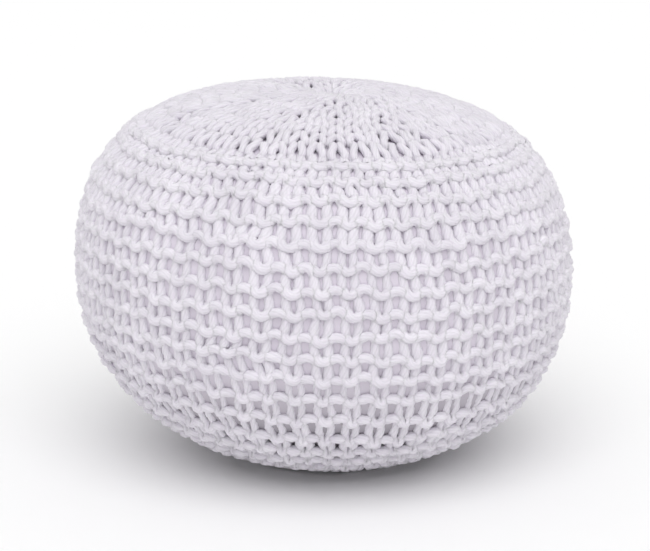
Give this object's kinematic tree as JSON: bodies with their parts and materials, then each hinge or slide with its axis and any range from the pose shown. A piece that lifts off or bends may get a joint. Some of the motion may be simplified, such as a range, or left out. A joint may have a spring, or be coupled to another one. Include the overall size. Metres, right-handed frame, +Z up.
{
  "type": "knitted floor pouf",
  "caption": "Round filled floor pouf in a hand-knit cotton cover with ridged courses, a gathered crown and a flat base to rest on.",
  "frame": {"origin": "on the floor, under the middle of the pouf's box", "axes": "+Z up from the flat base to the gathered crown, -Y towards the front, +X to the right"},
  "size_m": [0.5, 0.4992, 0.3689],
  "materials": {
    "cotton_yarn": "matt knitted cotton"
  },
  "bodies": {
    "root": {"knitted_pouf": "cotton_yarn"}
  },
  "joints": []
}
